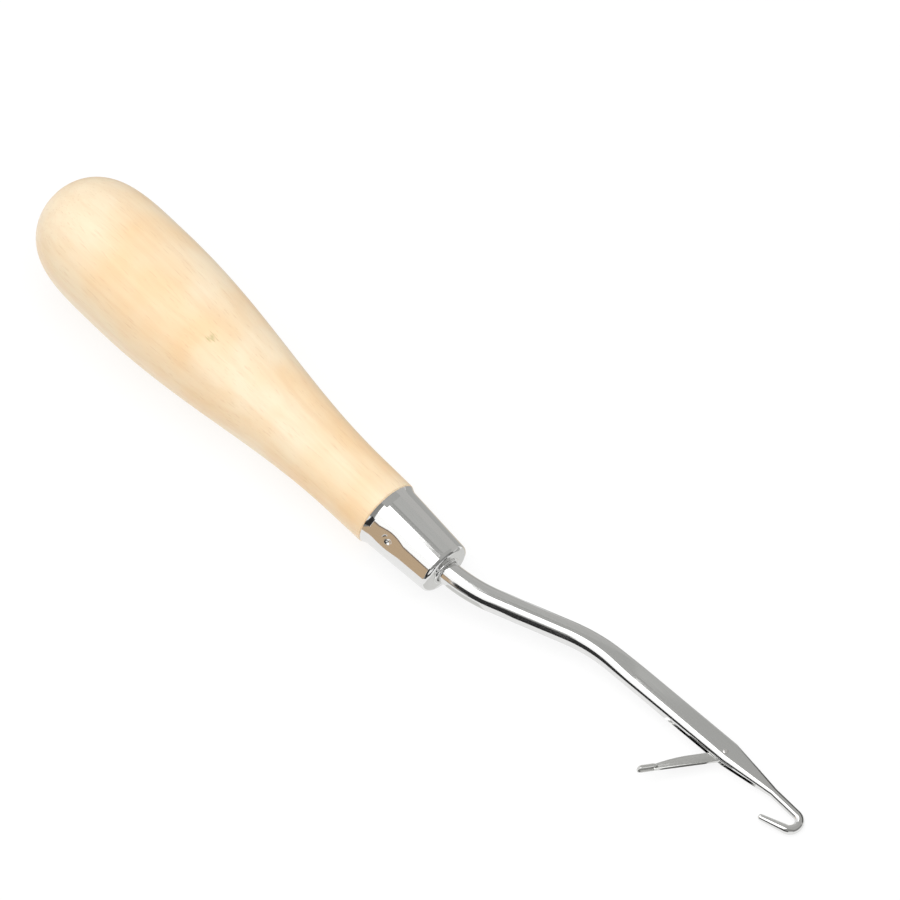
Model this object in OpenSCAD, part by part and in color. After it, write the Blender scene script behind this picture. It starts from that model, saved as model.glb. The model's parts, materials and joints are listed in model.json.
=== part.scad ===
// Latch hook tool for rug making: a turned wooden handle, a drawn steel ferrule, a bent steel
// shank that ends in an open hook, and a latch that swings on a rivet in the shank's slot.
// It is drawn along X from the butt, with the hook in the XY plane, and is then laid down on
// the butt's swell and the hook's bend, as it lies on a table.

/* [Handle] */
// Length of wood that shows, from the butt to the ferrule
handle_len = 78.5; // [74:0.1:110]
// Widest diameter, where the handle fills the palm
swell_d = 21.3; // [16:0.1:28]
// Distance from the butt to the widest place
swell_x = 21; // [16:0.5:26]
// Length over which the swell narrows to the neck
swell_run = 50; // [40:0.5:52]
// Diameter of the neck beside the ferrule
neck_d = 12.1; // [11.6:0.1:15]
// How much the neck's diameter grows for each millimetre towards the swell
neck_taper = 0.02; // [0:0.005:0.04]

/* [Ferrule] */
// Length of the ferrule, from the wood to its front face
ferrule_len = 14; // [11:0.1:18]
// Outside diameter of the flared rim beside the wood
rim_d = 11.9; // [11.4:0.1:13]
// Length of the flare
flare_len = 1.4; // [0.8:0.1:2.5]
// Outside diameter in front of the flare
ferrule_back_d = 11.1; // [10.6:0.1:11.4]
// Outside diameter beside the rounded front edge
ferrule_front_d = 9.6; // [8.8:0.1:10.4]
// Radius of the rounded front edge
front_edge_r = 0.9; // [0.7:0.05:1.2]
// Thickness of the sheet that the ferrule is drawn from
ferrule_wall = 0.5; // [0.3:0.05:0.6]
// Gap all round between the ferrule's front hole and the wire
hole_gap = 0.08; // [0.05:0.01:0.2]
// Radius of the rolled lip round the front hole
lip_r = 0.32; // [0.2:0.02:0.4]
// Distance from the rim to the crimp mark
crimp_x = 4.9; // [3:0.1:8]
// Angle of the crimp mark, from the top towards the side where the hook opens
crimp_angle = 60; // [0:1:180]
// Diameter of the crimp's dished mark
crimp_d = 2.4; // [1.6:0.1:3]
// Depth of the dished mark
crimp_depth = 0.55; // [0.3:0.05:0.7]
// Diameter of the punch point in the middle of the mark
punch_d = 0.9; // [0.5:0.05:1.2]
// Depth of the punch point below the dish
punch_depth = 0.3; // [0.1:0.05:0.4]

/* [Shank] */
// Diameter of the round wire
wire_d = 4; // [3.4:0.05:4.4]
// Length of wire driven into the wood, behind the ferrule's front face
tang_len = 38; // [25:0.5:55]
// Length of the tang's tapered end
tang_point = 2.5; // [1:0.1:4]
// Distance from the ferrule's front face to the middle of the first bend
first_bend_x = 4.3; // [4:0.1:9]
// Angle of the shank's slanted run to the handle's axis
crank_angle = 22; // [16:0.5:26]
// Radius of the first bend, on the wire's axis
first_bend_r = 29; // [15:0.5:32]
// Distance between the middles of the two bends
crank_run = 22.8; // [18:0.1:30]
// Radius of the second bend, on the wire's axis
second_bend_r = 28; // [15:0.5:32]
// Angle of the blade to the handle's axis
blade_angle = 4; // [0:0.5:8]
// Height of the flattened blade, in the plane of the hook
blade_h = 3.85; // [3.5:0.05:4.4]
// Thickness of the flattened blade
blade_t = 3; // [2.6:0.05:3.4]
// Radius of the blade's back corners
back_corner_r = 0.45; // [0.2:0.05:0.8]
// Radius of the blade's corners on the side where the hook opens
open_corner_r = 1.4; // [0.8:0.05:1.45]
// Distance from the second bend to where the flats are at full width
flat_full = 10; // [8:0.5:14]

/* [Hook] */
// Diameter of the hook's wire
hook_wire_d = 1.6; // [1.3:0.05:1.9]
// Distance from the latch's pivot to the end of the blade's taper
taper_end = 10.1; // [9:0.1:13]
// Distance from the latch's pivot to the centre of the hook's bend, along the tool
hook_reach = 15.45; // [14:0.05:18]
// How far the back of the hook's wire lies below the blade's back
hook_step = 0.45; // [0:0.05:0.8]
// Radius of the hook's bend, on the wire's axis
hook_bend_r = 1.6; // [1.4:0.05:2.2]
// Angle through which the wire turns back
hook_turn = 160.5; // [150:0.5:168]
// Length of the straight end after the bend
hook_return = 4.3; // [3.6:0.1:5]
// Diameter of the hook's rounded tip
hook_tip_d = 1.1; // [0.9:0.05:1.2]

/* [Latch] */
// Distance from the second bend to the latch's pivot, along the blade
pivot_run = 28.95; // [27:0.05:34]
// How far the pivot lies from the blade's middle, towards the opening side
pivot_drop = 0.42; // [0.2:0.02:0.6]
// Length of the latch from its pivot to its tip
latch_len = 14.5; // [14:0.1:15.2]
// Thickness of the latch
latch_t = 0.7; // [0.5:0.05:0.8]
// Width of the latch round its pivot
latch_root_w = 1.8; // [1.5:0.05:2]
// Length over which the leaf keeps its full width
leaf_run = 6.5; // [5:0.1:8]
// Width of the leaf where the spoon begins
latch_end_w = 0.95; // [0.8:0.05:1.2]
// Distance from the latch's line to the leaf's front edge where the spoon begins
leaf_front = 0.72; // [0.6:0.02:0.85]
// Length of the spoon
spoon_len = 3.6; // [3.2:0.1:4]
// Width of the spoon across the latch
spoon_w = 1.7; // [1.6:0.05:2]
// Wall of the spoon
spoon_wall = 0.2; // [0.15:0.01:0.25]
// Distance from the latch's line to the middle of its trough, towards the hook
trough_y = 0.4; // [0.3:0.02:0.5]
// Angle of the latch as the tool lies: 0 would point along the hook, 180 along the shank
latch_angle = 122.5; // [30:0.5:160]
// Gap between the latch and each side of the slot
slot_gap = 0.1; // [0.06:0.01:0.2]
// Gap between the latch's eye and the slot's floor
floor_gap = 0.17; // [0.1:0.01:0.3]
// Length of the slot behind the pivot
slot_back = 11.7; // [11:0.1:12.5]
// Length of the slot in front of the pivot
slot_front = 7.2; // [6:0.1:8]
// Diameter of the rivet
rivet_d = 0.9; // [0.7:0.05:1]
// Gap all round between the rivet and the latch's eye
rivet_gap = 0.05; // [0.02:0.01:0.09]
// Height of the rivet's domed ends
rivet_dome = 0.12; // [0.05:0.01:0.2]

/* [Hidden] */
$fn = 48;

wood = "#f2d9ad";
chrome = "#c9cacb";
steel = "#b4b5b7";

// Steps of the curved stretches of an outline
cap_steps = 14;
swell_steps = 24;
edge_steps = 8;
// Thickness of the slices that a blend is drawn between
slice = 0.1;
// How far a cutter reaches past what it cuts
over = 1;
// Bending draws the wire thinner by this much, and each bend runs this angle into its neighbours
thinning = 0.03;
run_in = 0.4;
// The hook's bend is tight, so it runs further into its neighbours
hook_run_in = 4;

face_x = handle_len + ferrule_len;
wire_r = wire_d / 2;
hole_r = wire_r + hole_gap;

function heading(a) = [cos(a), sin(a)];

// Middles of the two bends, and the length of wire that each bend takes from its sides
first_bend = [face_x + first_bend_x, 0];
second_bend = first_bend + crank_run * heading(crank_angle);
first_side = first_bend_r * tan(crank_angle / 2);
second_turn = crank_angle - blade_angle;
second_side = second_bend_r * tan(second_turn / 2);

// A place on the blade: s along it from the second bend, d towards its back
function on_blade(s, d) = second_bend + s * heading(blade_angle) + d * heading(blade_angle + 90);

pivot = on_blade(pivot_run, -pivot_drop);
taper_start = pivot_run + rivet_d / 2;
hook_r = hook_wire_d / 2;
hook_y = on_blade(taper_start, blade_h / 2).y - hook_step - hook_r;
taper_x = pivot.x + taper_end;
bend_x = pivot.x + hook_reach;
// Where the hook's straight end begins, and the middle of its tip
return_start = [bend_x, hook_y - hook_bend_r] + hook_bend_r * heading(90 - hook_turn);
hook_tip = return_start + hook_return * heading(-hook_turn);

slot_w = latch_t + 2 * slot_gap;
eye_r = latch_root_w / 2;
slot_floor = eye_r - pivot_drop + floor_gap;
spoon_r = spoon_w / 2;
leaf_end = latch_len - spoon_len + spoon_r;

// Handle's radius at a distance x from the butt, from the widest place on
function neck_r(x) = (neck_d + neck_taper * (handle_len - x)) / 2;
function swell_share(x) = (1 + cos(180 * min(1, (x - swell_x) / swell_run))) / 2;
function handle_r(x) = neck_r(x) + (swell_d / 2 - neck_r(x)) * swell_share(x);

// Outline of the wood that shows, as distance from the butt and radius
handle_side = concat(
    [for (i = [0 : cap_steps - 1]) let (a = 90 * i / cap_steps)
        [swell_x * (1 - sqrt(cos(a))), swell_d / 2 * sin(a)]],
    [for (i = [0 : swell_steps]) let (x = swell_x + (handle_len - swell_x) * i / swell_steps)
        [x, handle_r(x)]]);

// Outline of the ferrule from its rim to its front face, set in by a wall
function ferrule_side(inset) = concat(
    [[handle_len, rim_d / 2 - inset],
     [handle_len + flare_len, ferrule_back_d / 2 - inset]],
    [for (i = [0 : edge_steps]) let (a = 90 * i / edge_steps, r = front_edge_r - inset)
        [face_x - front_edge_r + r * sin(a), ferrule_front_d / 2 - front_edge_r + r * cos(a)]]);

// Radius of the sphere that leaves the crimp's dish, and the ferrule's radius at the crimp
crimp_r = (pow(crimp_d / 2, 2) + pow(crimp_depth, 2)) / (2 * crimp_depth);
crimp_share = (crimp_x - flare_len) / (ferrule_len - flare_len - front_edge_r);
crimp_wall_r = ferrule_back_d / 2 + (ferrule_front_d - ferrule_back_d) / 2 * crimp_share;

// Lying on a table: the tilt at which the swell and the hook's bend reach equally low
function swell_low(tilt) = max([for (p = handle_side) p.x * sin(tilt) + p.y * cos(tilt)]);
function hook_low(tilt) = (bend_x + hook_bend_r) * sin(tilt) + hook_r;
function level(a, b, rounds) =
    let (m = (a + b) / 2)
    rounds == 0 ? m :
    swell_low(m) > hook_low(m) ? level(m, b, rounds - 1) : level(a, m, rounds - 1);
lie_tilt = level(0, 15, 16);
// Middle of the tool's length and width
middle_x = (bend_x + hook_bend_r + hook_r) * cos(lie_tilt) / 2;
middle_y = (on_blade(taper_start, blade_h / 2).y - swell_d / 2) / 2;

module lie() {
    translate([-middle_x, -middle_y, swell_low(lie_tilt)])
        rotate([0, lie_tilt, 0])
            children();
}

// Turns an outline of distance and radius into a solid round the X axis
module turned(side) {
    rotate([0, 90, 0])
        rotate([0, 0, 180])
            rotate_extrude($fn = 96)
                polygon([for (p = side) [p.y, p.x]]);
}

// Puts something at a place in the hook's plane, heading along an angle
module at(place, angle = 0) {
    translate([place.x, place.y, 0])
        rotate([0, 0, angle])
            children();
}

// A round bar along X, from radius r1 to r2
module bar(length, r1, r2) {
    rotate([0, 90, 0])
        cylinder(h = length, r1 = r1, r2 = r2);
}

// A bend of round wire that starts along X and turns towards +Y, or towards -Y where side is -1.
// It reaches a little way, past, into the straight lengths at its ends.
module bent_wire(bend_r, turn, r, side, past) {
    mirror([0, side < 0 ? 1 : 0, 0])
        translate([0, bend_r, 0])
            rotate([0, 0, -90 - past])
                rotate_extrude(angle = turn + 2 * past)
                    translate([bend_r, 0])
                        circle(r - thinning);
}

// A flat outline, Y and Z of the tool, drawn along X
module along_x(length) {
    rotate([90, 0, 90])
        linear_extrude(length)
            children();
}

// Half of the blade's section, from its middle to one edge, drawn smaller all round by inset
module half_section(corner_r, inset) {
    edge = blade_h / 2 - inset;
    side = blade_t / 2 - inset;
    translate([0, -side])
        square([edge - corner_r, 2 * side]);
    translate([0, corner_r - side])
        square([edge, 2 * (side - corner_r)]);
    for (z = [-1, 1])
        translate([edge - corner_r, z * (side - corner_r)])
            circle(corner_r);
}

// The blade's section: small corners on its back, and rounder ones where the hook opens
module blade_section(inset) {
    half_section(back_corner_r, inset);
    mirror([1, 0])
        half_section(open_corner_r, inset);
}

// The dent of the crimp, grown by a wall
module crimp(grow) {
    translate([handle_len + crimp_x, 0, 0])
        rotate([crimp_angle, 0, 0])
            translate([0, 0, crimp_wall_r + crimp_r - crimp_depth])
                sphere(crimp_r + grow);
}

module handle() {
    tenon_side = ferrule_side(ferrule_wall);
    color(wood)
        difference() {
            union() {
                turned(concat(handle_side, [[handle_len, 0]]));
                turned(concat([[handle_len - over, 0]], [[handle_len - over, tenon_side[0].y]],
                    tenon_side, [[face_x - ferrule_wall, 0]]));
            }
            translate([face_x - tang_len - tang_point, 0, 0])
                bar(tang_len + tang_point, wire_r, wire_r);
            crimp(ferrule_wall);
        }
}

module ferrule() {
    inside = concat([[handle_len, 0]], ferrule_side(ferrule_wall), [[face_x - ferrule_wall, 0]]);
    // The crimp's lump reaches out to the middle of the wall, so that the two are one piece
    mid_wall = ferrule_wall / 2;
    middle_of_wall = concat([[handle_len, 0]], ferrule_side(mid_wall), [[face_x - mid_wall, 0]]);
    punch_r = punch_d / 2;
    // The lip's middle stands a little less than its radius off the hole, so the hole trims it
    lip_out = 0.8 * lip_r;
    color(chrome)
        difference() {
            union() {
                difference() {
                    turned(concat([[handle_len, 0]], ferrule_side(0), [[face_x, 0]]));
                    turned(inside);
                }
                intersection() {
                    crimp(ferrule_wall);
                    turned(middle_of_wall);
                }
                translate([face_x, 0, 0])
                    rotate([0, 90, 0])
                        rotate_extrude()
                            translate([hole_r + lip_out, 0])
                                circle(lip_r);
            }
            crimp(0);
            translate([handle_len + crimp_x, 0, 0])
                rotate([crimp_angle, 0, 0])
                    translate([0, 0, crimp_wall_r - crimp_depth - punch_depth])
                        cylinder(h = crimp_d, r = punch_r);
            translate([face_x - over, 0, 0])
                bar(2 * over, hole_r, hole_r);
        }
}

// The round wire from the tang's point to the end of the second bend
module wire() {
    tang_start = face_x - tang_len;
    tang_end = first_bend.x - first_side;
    turned([
        [tang_start, 0],
        [tang_start, wire_r / 2],
        [tang_start + tang_point, wire_r],
        [tang_end, wire_r],
        [tang_end, 0]]);
    at([tang_end, 0])
        bent_wire(first_bend_r, crank_angle, wire_r, 1, run_in);
    at(first_bend + first_side * heading(crank_angle), crank_angle)
        bar(crank_run - first_side - second_side, wire_r, wire_r);
    at(second_bend - second_side * heading(crank_angle), crank_angle)
        bent_wire(second_bend_r, second_turn, wire_r, -1, run_in);
}

// The flattened blade, which blends out of the round wire and down to the hook's wire.
// Each blend ends just inside its neighbour.
module blade() {
    at(second_bend, blade_angle) {
        hull() {
            translate([second_side, 0, 0])
                along_x(slice)
                    circle(wire_r, $fn = 32);
            translate([flat_full, 0, 0])
                along_x(slice)
                    blade_section(thinning, $fn = 32);
        }
        translate([flat_full, 0, 0])
            along_x(taper_start - flat_full)
                blade_section(0);
    }
    hull() {
        at(on_blade(taper_start, 0), blade_angle)
            translate([-slice, 0, 0])
                along_x(slice)
                    blade_section(thinning, $fn = 32);
        at([taper_x, hook_y])
            along_x(slice)
                circle(hook_r + thinning, $fn = 32);
    }
}

// The hook's wire: its leg starts inside the taper, and its free end is rounded
module hook() {
    tip_r = hook_tip_d / 2;
    at([taper_x - hook_r, hook_y])
        bar(bend_x - taper_x + hook_r, hook_r, hook_r);
    at([bend_x, hook_y])
        bent_wire(hook_bend_r, hook_turn, hook_r, -1, hook_run_in);
    at(return_start, -hook_turn)
        turned(concat(
            [[0, 0], [0, hook_r]],
            [for (i = [0 : edge_steps]) let (a = 90 * i / edge_steps)
                [hook_return + tip_r * sin(a), tip_r * cos(a)]]));
}

// Cutter for the slot, deepest round the pivot and running out at both ends
module slot() {
    low = -blade_h / 2;
    back_ramp = 5;
    front_rise = slot_front / 8;
    at(on_blade(pivot_run, 0), blade_angle)
        translate([0, 0, -slot_w / 2])
            linear_extrude(slot_w)
                polygon([
                    [-slot_back, low - over],
                    [-slot_back, low],
                    [back_ramp - slot_back, slot_floor],
                    [eye_r + floor_gap, slot_floor],
                    [slot_front, -front_rise],
                    [slot_front, low - over]]);
}

module shank() {
    color(chrome)
        difference() {
            union() {
                wire();
                blade();
                hook();
            }
            slot();
            at(pivot)
                cylinder(h = 2 * blade_t, r = rivet_d / 2, center = true);
        }
}

// Round-ended bar along X that leaves the spoon's outside and its trough
module spoon_core(r) {
    last = latch_len - spoon_r;
    translate([leaf_end, trough_y, 0]) {
        sphere(r);
        bar(last - leaf_end, r, r);
    }
    translate([last, trough_y, 0])
        sphere(r);
}

// The latch along X from its pivot, with its trough towards +Y
module straight_latch() {
    difference() {
        union() {
            translate([0, 0, -latch_t / 2])
                linear_extrude(latch_t) {
                    circle(eye_r);
                    polygon([
                        [0, eye_r], [0, -eye_r],
                        [leaf_run, -eye_r],
                        [leaf_end, leaf_front - latch_end_w],
                        [leaf_end, leaf_front]]);
                }
            intersection() {
                spoon_core(spoon_r);
                translate([0, trough_y - spoon_w, -spoon_w])
                    cube([latch_len, spoon_w, 2 * spoon_w]);
            }
        }
        spoon_core(spoon_r - spoon_wall);
        cylinder(h = 2 * latch_t, r = rivet_d / 2 + rivet_gap, center = true);
    }
}

module latch() {
    color(steel)
        at(pivot, -latch_angle)
            straight_latch();
}

// The rivet's ends are domed, and stand a little proud of the cheeks
module latch_rivet() {
    rivet_r = rivet_d / 2;
    dome_r = (pow(rivet_r, 2) + pow(rivet_dome, 2)) / (2 * rivet_dome);
    color(steel)
        at(pivot) {
            cylinder(h = blade_t, r = rivet_r, center = true);
            for (side = [0, 1])
                mirror([0, 0, side])
                    translate([0, 0, blade_t / 2])
                        intersection() {
                            cylinder(h = rivet_dome, r = rivet_r);
                            translate([0, 0, rivet_dome - dome_r])
                                sphere(dome_r);
                        }
        }
}

lie() handle();
lie() ferrule();
lie() shank();
lie() latch();
lie() latch_rivet();
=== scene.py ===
# %% [markdown]
# # A latch hook tool, dressed for the camera
# A latch hook knots short lengths of yarn into rug canvas. It has a turned wooden handle, a
# chromed ferrule, a bent steel shank that ends in a hook, and a latch that swings on a rivet.
# The moving frame was modelled elsewhere, and this lesson loads it, then replaces its
# plain solids by finer meshes with real finishes. The frame stays where it is: each new
# piece is drawn in the frame's own place and rides on one of its bodies.

# %% Load the frame
import json
import math

import bmesh
import bpy
from mathutils import Matrix, Vector


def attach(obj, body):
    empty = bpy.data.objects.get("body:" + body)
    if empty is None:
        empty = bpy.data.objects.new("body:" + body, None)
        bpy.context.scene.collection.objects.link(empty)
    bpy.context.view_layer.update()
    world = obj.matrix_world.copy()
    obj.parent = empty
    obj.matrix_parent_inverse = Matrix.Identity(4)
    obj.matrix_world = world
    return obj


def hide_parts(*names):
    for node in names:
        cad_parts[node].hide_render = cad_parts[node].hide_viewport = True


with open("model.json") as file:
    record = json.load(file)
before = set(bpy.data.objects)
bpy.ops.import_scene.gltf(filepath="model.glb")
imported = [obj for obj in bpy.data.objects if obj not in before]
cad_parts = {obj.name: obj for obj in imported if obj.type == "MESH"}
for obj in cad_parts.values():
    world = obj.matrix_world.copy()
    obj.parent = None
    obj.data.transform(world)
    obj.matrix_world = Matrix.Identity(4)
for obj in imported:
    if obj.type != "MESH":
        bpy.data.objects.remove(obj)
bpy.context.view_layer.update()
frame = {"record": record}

# %% [markdown]
# ## Drawing along the tool
# A toolmaker measures a handle from its butt, so every piece here is drawn in millimetres along
# X from the butt, with the hook in the XY plane. The frame's hinge tells how the tool lies on
# the table: its axis stands square to the hook's plane, and its place is the rivet's. One
# matrix, made from these two, lays each finished piece down. Drawing straight on the table
# would work too, but then every size would be mixed with the tool's tilt.

# %% One matrix lays the tool down
MM = 0.001
PIVOT = Vector((146.849, 10.142, 0))

joints = frame["record"]["behaviour"]["joints"]
hinge = next(joint for joint in joints if joint["name"] == "latch_pivot")
lie_tilt = math.atan2(hinge["axis"][0], hinge["axis"][2])
LIE = (
    Matrix.Translation(Vector(hinge["pos_m"])) @ Matrix.Rotation(lie_tilt, 4, "Y")
    @ Matrix.Scale(MM, 4) @ Matrix.Translation(-PIVOT)
)
print("the tool lies tilted by", round(math.degrees(lie_tilt), 2), "degrees")

# %% [markdown]
# Every piece ends the same way. Its seams are closed while it is still a drawing in
# millimetres, it is laid down, and its normals are turned outwards. Then it gets its material,
# rides on its body, and takes the place of the frame's plain solid. Faces that meet at less
# than the sharp angle are shaded as one smooth skin.

# %% Finish a mesh and hand it to the frame
SEAM = 0.0005


def finish_piece(mesh, name, material, body, node, sharp_angle=35):
    """Closes the drawing's seams, lays it down, and swaps it for the frame's node."""
    bmesh.ops.remove_doubles(mesh, verts=mesh.verts, dist=SEAM)
    bmesh.ops.transform(mesh, matrix=LIE, verts=mesh.verts)
    bmesh.ops.recalc_face_normals(mesh, faces=mesh.faces)
    data = bpy.data.meshes.new(name)
    mesh.to_mesh(data)
    mesh.free()
    data.shade_smooth()
    data.set_sharp_from_angle(angle=math.radians(sharp_angle))
    data.materials.append(material)
    piece = bpy.data.objects.new(name, data)
    bpy.context.collection.objects.link(piece)
    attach(piece, body)
    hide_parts(node)
    print(name, "has", len(data.polygons), "faces")


# %% [markdown]
# ## The view
# The photograph looks down on the tool from its hook side, through a long lens. A camera three
# metres away with a narrow angle gives that flat look. The aim is set from where the middle of
# the frame falls on the table.

# %% Camera
VIEW_AZIMUTH = math.radians(46.56)
VIEW_ELEVATION = math.radians(57.99)
VIEW_DISTANCE = 3.0
VIEW_WIDTH = 145.25 * MM
AIM_RIGHT = 6.89 * MM
AIM_UP = 15.78 * MM
FILM_WIDTH = 36
FAR_CLIP = 20

to_camera = Vector((
    math.sin(VIEW_AZIMUTH) * math.cos(VIEW_ELEVATION),
    -math.cos(VIEW_AZIMUTH) * math.cos(VIEW_ELEVATION),
    math.sin(VIEW_ELEVATION),
))
image_right = Vector((math.cos(VIEW_AZIMUTH), math.sin(VIEW_AZIMUTH), 0))
image_up = to_camera.cross(image_right)

lens = bpy.data.cameras.new("camera")
lens.sensor_width = FILM_WIDTH
lens.lens = FILM_WIDTH * VIEW_DISTANCE / VIEW_WIDTH
lens.clip_end = FAR_CLIP
camera = bpy.data.objects.new("camera", lens)
camera.location = image_right * AIM_RIGHT + image_up * AIM_UP + to_camera * VIEW_DISTANCE
camera.rotation_mode = "QUATERNION"
camera.rotation_quaternion = (-to_camera).to_track_quat("-Z", "Y")
bpy.context.collection.objects.link(camera)
bpy.context.scene.camera = camera
print("lens", round(lens.lens), "mm")

# %% [markdown]
# ## Node helpers
# A finish is a small network of nodes. One helper adds a node, sets it up and fills its
# sockets, either with plain values or with what another node gives. Colours are written as the
# hex codes that a paint chart uses, and one function turns them into linear light. Two more
# start an empty finish and fill a colour ramp. The last one gives the places on a piece, once
# as Blender has them and once in millimetres along the tool. The second kind is turned with the
# tool, so that grain and scratches follow the handle and the wire and not the table.


# %% Helpers for materials
def linear(hex_code):
    """An sRGB hex colour as linear red, green, blue and alpha."""
    parts = [int(hex_code[i:i + 2], 16) / 255 for i in (1, 3, 5)]
    return (*[p / 12.92 if p <= 0.04045 else ((p + 0.055) / 1.055) ** 2.4 for p in parts], 1)


def add(tree, kind, sockets=None, **settings):
    """Adds a node, sets its settings, and fills its sockets with values or with links."""
    node = tree.nodes.new(kind)
    for key, value in settings.items():
        setattr(node, key, value)
    for key, value in (sockets or {}).items():
        if isinstance(value, bpy.types.NodeSocket):
            tree.links.new(value, node.inputs[key])
        else:
            node.inputs[key].default_value = value
    return node


def new_finish(name):
    """An empty material, with its tree and its output node."""
    material = bpy.data.materials.new(name)
    material.use_nodes = True
    material.node_tree.nodes.clear()
    output = add(material.node_tree, "ShaderNodeOutputMaterial")
    return material, material.node_tree, output


def set_ramp(ramp, stops):
    """Gives a colour ramp its stops, as (place, colour) pairs."""
    for index, (place, colour) in enumerate(stops):
        stop = ramp.color_ramp.elements[index] if index < 2 else ramp.color_ramp.elements.new(place)
        stop.position = place
        stop.color = colour


def places_on_piece(tree):
    """The places on a piece in metres, and the same in millimetres along the tool."""
    place = add(tree, "ShaderNodeTexCoord").outputs["Object"]
    along = add(tree, "ShaderNodeMapping", {
        "Vector": place, "Rotation": (0, -lie_tilt, 0), "Scale": (1 / MM, 1 / MM, 1 / MM),
    }, vector_type="POINT").outputs["Vector"]
    return place, along


# %% [markdown]
# ## The wood's finish
# The handle is turned from a pale, close-grained hardwood such as lotus or schima, sanded
# round and dipped in thin clear lacquer. Up close it shows faint streaks along the grain, short
# dark pores, soft warmer patches where the lacquer soaked in, and a satin gloss. A wave texture
# would give even rings, which such a wood doesn't show, so noise is used: stretched along the
# tool it gives the streaks and the pores, and unstretched it gives the patches. The real pores
# are finer than a pixel, so they are drawn wider here.

# %% The wood's three patterns
GRAIN_WIDTH = 1.6
GRAIN_STRETCH = 0.05
PORE_WIDTH = 0.28
PORE_STRETCH = 0.09
PATCH_WIDTH = 14

wood, tree, output = new_finish("turned_hardwood_satin_lacquer")
place, along = places_on_piece(tree)

streak_place = add(tree, "ShaderNodeVectorMath", {
    0: along, 1: (GRAIN_STRETCH, 1, 1),
}, operation="MULTIPLY").outputs["Vector"]
streaks = add(tree, "ShaderNodeTexNoise", {
    "Vector": streak_place, "Scale": 1 / GRAIN_WIDTH, "Detail": 4, "Roughness": 0.6, "Distortion": 0.4,
}).outputs["Fac"]
pore_place = add(tree, "ShaderNodeVectorMath", {
    0: along, 1: (PORE_STRETCH, 1, 1),
}, operation="MULTIPLY").outputs["Vector"]
pores = add(tree, "ShaderNodeTexNoise", {
    "Vector": pore_place, "Scale": 1 / PORE_WIDTH, "Detail": 2, "Roughness": 0.5,
}).outputs["Fac"]
patches = add(tree, "ShaderNodeTexNoise", {
    "Vector": along, "Scale": 1 / PATCH_WIDTH, "Detail": 2, "Roughness": 0.5,
}).outputs["Fac"]
print("grain", GRAIN_WIDTH, "mm, pores", PORE_WIDTH, "mm, patches", PATCH_WIDTH, "mm")

# %% [markdown]
# The patches give the wood its two base colours. Streaks and pores are darker versions of it,
# so they are multiplied in, each with the small share that a pale wood shows under lacquer.

# %% The wood's colours
STREAK_SHARE = 0.16
PORE_SHARE = 0.18
WHITE = linear("#FFFFFF")

patch_ramp = add(tree, "ShaderNodeValToRGB", {"Fac": patches})
set_ramp(patch_ramp, [(0.34, linear("#FCD9AA")), (0.62, linear("#FEE9C8"))])
streak_ramp = add(tree, "ShaderNodeValToRGB", {"Fac": streaks})
set_ramp(streak_ramp, [(0.30, linear("#DDB583")), (0.58, WHITE)])
pore_ramp = add(tree, "ShaderNodeValToRGB", {"Fac": pores})
set_ramp(pore_ramp, [(0.27, linear("#C49A66")), (0.40, WHITE)])

tinted = add(tree, "ShaderNodeMix", {
    0: STREAK_SHARE, 6: patch_ramp.outputs["Color"], 7: streak_ramp.outputs["Color"],
}, data_type="RGBA", blend_type="MULTIPLY")
flecked = add(tree, "ShaderNodeMix", {
    0: PORE_SHARE, 6: tinted.outputs[2], 7: pore_ramp.outputs["Color"],
}, data_type="RGBA", blend_type="MULTIPLY")
print("streaks at", STREAK_SHARE, "and pores at", PORE_SHARE)

# %% [markdown]
# A small, pale greenish knot shows on the side of the swell. A painted texture could hold it,
# but one soft spot needs only the distance from its middle, run through a ramp. The pores' noise
# is added to the distance, which makes the knot's edge ragged along the grain.

# %% The knot
KNOT_PLACE = Vector((39.3, -2.5, 9.05))
KNOT_RADIUS = 1.7
KNOT_RAGGED = 1.6
KNOT_SHARE = 0.85

knot_offset = add(tree, "ShaderNodeVectorMath", {
    0: place, 1: LIE @ KNOT_PLACE,
}, operation="SUBTRACT").outputs["Vector"]
knot_reach = add(tree, "ShaderNodeVectorMath", {0: knot_offset}, operation="LENGTH").outputs["Value"]
knot_ragged = add(tree, "ShaderNodeMath", {
    0: pores, 1: KNOT_RAGGED, 2: -KNOT_RAGGED / 4,
}, operation="MULTIPLY_ADD").outputs["Value"]
knot_share = add(tree, "ShaderNodeMath", {
    0: knot_reach, 1: 1 / (KNOT_RADIUS * MM), 2: knot_ragged,
}, operation="MULTIPLY_ADD").outputs["Value"]
knot_ramp = add(tree, "ShaderNodeValToRGB", {"Fac": knot_share})
set_ramp(knot_ramp, [(0.35, (KNOT_SHARE, KNOT_SHARE, KNOT_SHARE, 1)), (0.95, (0, 0, 0, 1))])
with_knot = add(tree, "ShaderNodeMix", {
    0: knot_ramp.outputs["Color"], 6: flecked.outputs[2], 7: linear("#C3B678"),
}, data_type="RGBA")
print("knot of", KNOT_RADIUS, "mm at", round(KNOT_PLACE.x, 1), "mm from the butt")

# %% [markdown]
# Thin lacquer on sanded wood is satin: a roughness near 0.4 that varies with the grain, a light
# coat over it, and pores that are felt more than seen, which is a very shallow bump. A little
# light also enters the wood and comes out warmer, which subsurface scattering gives.

# %% The lacquer's gloss and the wood's feel
PORE_DEPTH = 0.05 * MM

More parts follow.
